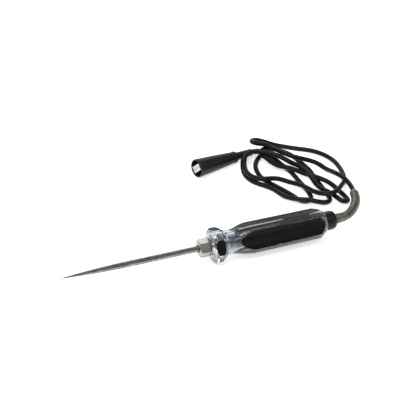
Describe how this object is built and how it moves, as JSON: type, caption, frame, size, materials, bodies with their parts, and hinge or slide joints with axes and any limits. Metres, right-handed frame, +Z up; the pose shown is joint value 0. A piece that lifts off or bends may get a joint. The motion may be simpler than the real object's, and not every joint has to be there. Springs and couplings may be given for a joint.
{
  "type": "circuit test light",
  "caption": "Hand-held circuit test light: tapered steel probe with hex collar, clear fluted handle with lamp, coiled lead and insulated spring clip.",
  "frame": {"origin": "on the surface the tool lies on, below the middle of the tool from probe tip to the rear of the cap, on the tool axis", "axes": "+X along the tool axis from the probe tip to the handle, +Z up"},
  "size_m": [0.2698, 0.1629, 0.0274],
  "materials": {
    "probe_steel": "ground and polished",
    "collar_nickel": "nickel plated, satin",
    "clear_acetate": "clear, polished",
    "black_plastic": "satin black",
    "lamp_glass": "clear",
    "brass": "plain",
    "spring_steel": "bright drawn wire",
    "tungsten": "drawn wire",
    "lamp_insulator": "black glass, glossy",
    "lead_rubber": "satin black",
    "boot_rubber": "soft black"
  },
  "bodies": {
    "handle": {"handle_body": "clear_acetate", "rear_cap": "black_plastic", "contact_spring": "spring_steel", "rear_contact_cup": "brass", "lead_terminal": "brass", "lead_in_handle": "lead_rubber", "strain_relief_spring": "spring_steel", "lead_run": "lead_rubber", "lead_coil": "lead_rubber", "lead_tail": "lead_rubber", "clip_boot": "boot_rubber", "clip_fixed_jaw": "collar_nickel", "clip_pivot_pin": "probe_steel", "clip_spring": "spring_steel"},
    "lamp": {"lamp_tip_contact": "brass", "lamp_insulator": "lamp_insulator", "lamp_shell": "brass", "lamp_glass": "lamp_glass", "lamp_stem": "lamp_glass", "lamp_support_wire_1": "tungsten", "lamp_support_wire_2": "tungsten", "lamp_filament": "tungsten"},
    "probe_unit": {"probe_needle": "probe_steel", "collar_nut": "collar_nickel"},
    "clip_jaw": {"clip_moving_jaw": "collar_nickel"}
  },
  "joints": [
    {"name": "lamp_slide", "type": "slide", "parent": "handle", "child": "lamp", "axis": [-1, 0, 0], "range_m": [0, 0.008], "deforming": ["contact_spring"]},
    {"name": "collar_turn", "type": "hinge", "parent": "lamp", "child": "probe_unit", "pos_m": [0, 0, 0.01371], "axis": [-1, 0, 0], "range_deg": [0, 1920]},
    {"name": "clip_open", "type": "hinge", "parent": "handle", "child": "clip_jaw", "pos_m": [0.06512, 0.127, 0.00615], "axis": [-0.245, 0.7033, -0.6674], "range_deg": [0, 18], "stiffness_Nm_per_rad": 0.05, "springref_deg": -20.05, "deforming": ["clip_boot"]}
  ],
  "couplings": [
    {"joint": "collar_turn", "follows": "lamp_slide", "rad_per_m": 4188.8}
  ]
}
